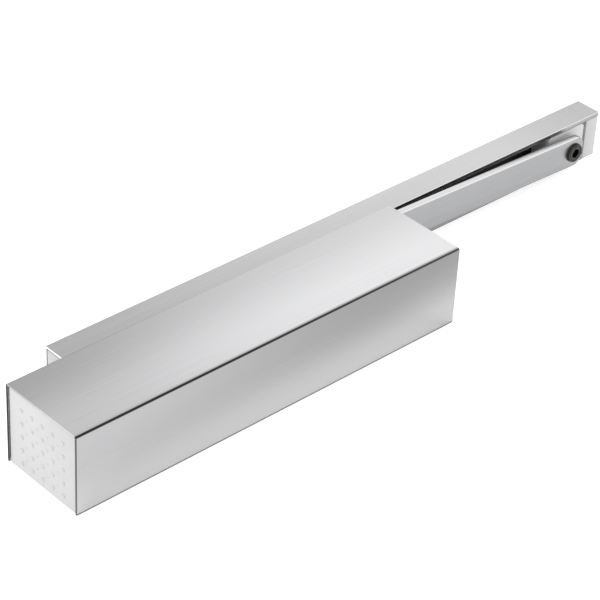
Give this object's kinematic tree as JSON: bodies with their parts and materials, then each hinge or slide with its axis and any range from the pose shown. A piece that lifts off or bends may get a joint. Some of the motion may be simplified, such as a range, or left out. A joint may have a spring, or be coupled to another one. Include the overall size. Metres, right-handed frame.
{
  "type": "door closer",
  "caption": "Surface-mounted hydraulic door closer with a flat swing arm, sliding block and slotted guide channel that pulls a door shut at a set speed.",
  "frame": {"origin": "centre of the closer body's four fixing holes, on the mounting face of its mounting plate", "axes": "+X along the body towards the arm's free end, +Y from the body to the slide channel, +Z away from the door"},
  "size_m": [0.4935, 0.0965, 0.053],
  "materials": {
    "cover_steel": "fine satin-brushed stainless sheet",
    "cap_plastic": "moulded, fine matt grain",
    "plate_steel": "zinc plated",
    "housing_aluminium": "die cast, bead blasted",
    "screw_steel": "zinc plated",
    "clip_plastic": "moulded",
    "plug_steel": "turned",
    "seal_rubber": "smooth",
    "bearing_bronze": "sintered bronze",
    "hardened_steel": "hardened and ground",
    "piston_aluminium": "turned",
    "spring_steel": "oil tempered",
    "valve_brass": "turned",
    "arm_steel": "satin nickel plated",
    "black_screw": "black oxide",
    "block_plastic": "moulded",
    "pad_plastic": "slippery plastic",
    "channel_aluminium": "extruded, anodised",
    "channel_steel": "fine satin-brushed stainless sheet"
  },
  "bodies": {
    "closer": {"cover": "cover_steel", "end_cap_left": "cap_plastic", "end_cap_right": "cap_plastic", "mounting_plate": "plate_steel", "housing": "housing_aluminium", "housing_screws": "screw_steel", "cover_clips": "clip_plastic", "end_plug_left": "plug_steel", "end_plug_right": "plug_steel", "end_plug_seals": "seal_rubber", "bearing_plug": "plug_steel", "spindle_bearing_front": "bearing_bronze", "spindle_bearing_back": "bearing_bronze", "spindle_seal": "seal_rubber", "closing_spring_outer": "spring_steel", "closing_spring_inner": "spring_steel", "damping_return_spring": "spring_steel"},
    "arm": {"camshaft": "hardened_steel", "arm": "arm_steel", "arm_screw": "screw_steel", "arm_bush": "bearing_bronze"},
    "closing_piston": {"closing_piston": "piston_aluminium", "closing_roller_axle": "hardened_steel"},
    "closing_roller": {"closing_roller": "hardened_steel"},
    "damping_piston": {"damping_piston": "piston_aluminium", "damping_piston_seal": "seal_rubber", "damping_roller_axle": "hardened_steel"},
    "damping_roller": {"damping_roller": "hardened_steel"},
    "slide_block": {"slide_block": "block_plastic", "glide_pads": "pad_plastic", "pivot_screw": "black_screw", "pivot_washer": "screw_steel"},
    "channel": {"slide_channel": "channel_aluminium", "channel_cover": "channel_steel", "channel_cap_left": "cap_plastic", "channel_cap_right": "cap_plastic", "stop_buffer": "seal_rubber"},
    "force_adjusting_screw": {"force_adjusting_screw": "screw_steel"},
    "spring_seat": {"spring_seat": "plug_steel"},
    "closing_speed_valve": {"closing_speed_valve": "valve_brass"},
    "latching_speed_valve": {"latching_speed_valve": "valve_brass"},
    "backcheck_valve": {"backcheck_valve": "valve_brass"}
  },
  "joints": [
    {"name": "arm_swing", "type": "hinge", "parent": "closer", "child": "arm", "pos_m": [0.0495, 0, 0.026], "axis": [0, -1, 0], "range_deg": [0, 170], "stiffness_Nm_per_rad": 4, "springref_deg": -68.75},
    {"name": "closing_piston_slide", "type": "slide", "parent": "closer", "child": "closing_piston", "axis": [-1, 0, 0], "range_m": [0, 0.0108], "deforming": ["closing_spring_outer", "closing_spring_inner"]},
    {"name": "damping_piston_slide", "type": "slide", "parent": "closer", "child": "damping_piston", "axis": [-1, 0, 0], "range_m": [0, 0.0108], "deforming": ["damping_return_spring"]},
    {"name": "closing_roller_spin", "type": "hinge", "parent": "closing_piston", "child": "closing_roller", "pos_m": [0.036, 0, 0.026], "axis": [0, -1, 0], "continuous": true},
    {"name": "damping_roller_spin", "type": "hinge", "parent": "damping_piston", "child": "damping_roller", "pos_m": [0.07431, 0, 0.026], "axis": [0, -1, 0], "continuous": true},
    {"name": "block_pivot", "type": "hinge", "parent": "arm", "child": "slide_block", "pos_m": [0.3225, 0.045, 0.016], "axis": [0, -1, 0], "continuous": true},
    {"name": "channel_slide", "type": "slide", "parent": "slide_block", "child": "channel", "axis": [1, 0, 0], "range_m": [0, 0.378]},
    {"name": "force_screw_turn", "type": "hinge", "parent": "closer", "child": "force_adjusting_screw", "pos_m": [-0.11, 0, 0.026], "axis": [-1, 0, 0], "range_deg": [0, 1440]},
    {"name": "spring_seat_slide", "type": "slide", "parent": "closer", "child": "spring_seat", "axis": [1, 0, 0], "range_m": [0, 0.006]},
    {"name": "closing_speed_valve_turn", "type": "hinge", "parent": "closer", "child": "closing_speed_valve", "pos_m": [0.074, -0.0205, 0.045], "axis": [0, 0, 1], "range_deg": [-180, 540]},
    {"name": "latching_speed_valve_turn", "type": "hinge", "parent": "closer", "child": "latching_speed_valve", "pos_m": [0.088, -0.0205, 0.045], "axis": [0, 0, 1], "range_deg": [-180, 540]},
    {"name": "backcheck_valve_turn", "type": "hinge", "parent": "closer", "child": "backcheck_valve", "pos_m": [0.102, -0.0205, 0.045], "axis": [0, 0, 1], "range_deg": [-180, 540]}
  ],
  "couplings": [
    {"joint": "closing_piston_slide", "follows": "arm_swing", "m_per_rad": 0.0036},
    {"joint": "damping_piston_slide", "follows": "arm_swing", "m_per_rad": 0.0036},
    {"joint": "force_screw_turn", "follows": "spring_seat_slide", "rad_per_m": 4188.8}
  ]
}
